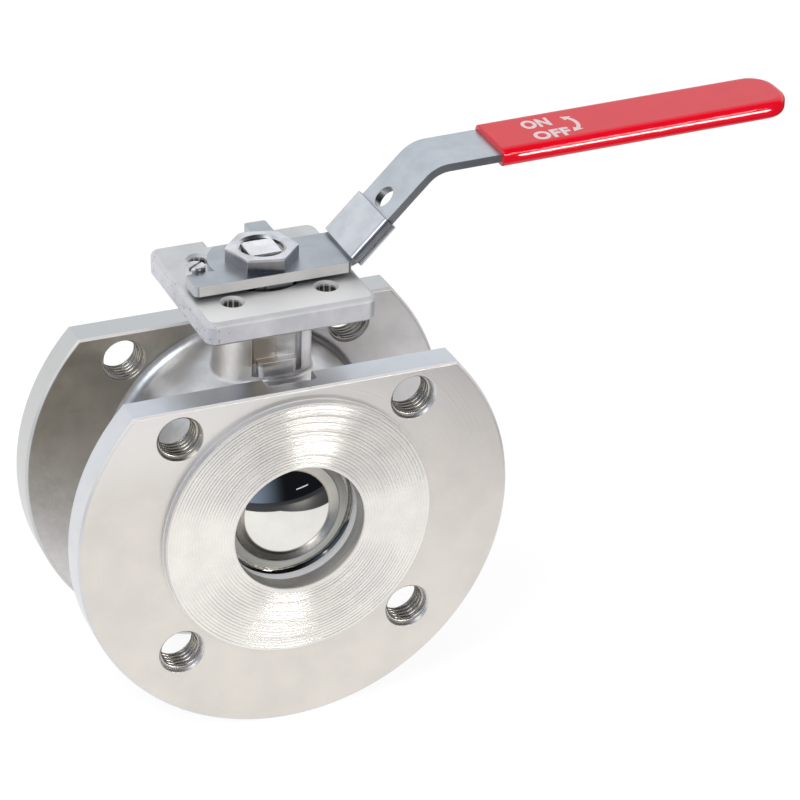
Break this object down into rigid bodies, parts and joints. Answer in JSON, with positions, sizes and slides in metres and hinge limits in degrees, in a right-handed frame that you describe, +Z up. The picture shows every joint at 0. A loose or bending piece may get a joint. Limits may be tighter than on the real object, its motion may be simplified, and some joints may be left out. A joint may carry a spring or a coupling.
{
  "type": "wafer ball valve",
  "caption": "Short flanged ball valve in stainless steel, flanges flat on top, with a bent lockable lever, red grip and actuator pad.",
  "frame": {"origin": "centre of the inlet port's mouth, on the front sealing face", "axes": "+Y along the pipe axis from the inlet to the outlet, +Z up along the stem, +X the way the lever points while the valve is shut"},
  "size_m": [0.2875, 0.08, 0.2089],
  "materials": {
    "cast_stainless": "machined and blasted stainless casting",
    "machined_stainless": "turned or milled stainless",
    "sheet_stainless": "rolled stainless sheet",
    "polished_steel": "mirror polished",
    "spring_steel": "hard rolled spring steel",
    "ptfe": "white sealing plastic",
    "rubber": "black rubber",
    "red_plastic": "dipped plastic, glossy"
  },
  "bodies": {
    "valve_body": {"body": "cast_stainless", "end_retainer": "machined_stainless", "body_gasket": "ptfe", "front_seat": "ptfe", "rear_seat": "ptfe", "stem_thrust_washer": "ptfe", "packing_ring_bottom": "ptfe", "packing_ring_middle": "ptfe", "packing_ring_top": "ptfe", "gland_ring": "machined_stainless", "stop_pin": "machined_stainless"},
    "rotor": {"ball": "polished_steel", "stem": "machined_stainless", "stem_o_ring": "rubber", "lower_disc_spring": "spring_steel", "upper_disc_spring": "spring_steel", "gland_nut": "machined_stainless", "tab_washer": "sheet_stainless", "lever": "sheet_stainless", "lever_nut": "machined_stainless", "grip": "red_plastic", "antistatic_ball": "polished_steel", "antistatic_spring": "spring_steel"},
    "lock_slide": {"lock_slide": "sheet_stainless"}
  },
  "joints": [
    {"name": "lever_turn", "type": "hinge", "parent": "valve_body", "child": "rotor", "pos_m": [0, 0.04, 0], "axis": [0, 0, 1], "range_deg": [0, 90]},
    {"name": "lock_slide_lift", "type": "slide", "parent": "rotor", "child": "lock_slide", "axis": [0.7071, 0, 0.7071], "range_m": [0, 0.0195]}
  ]
}
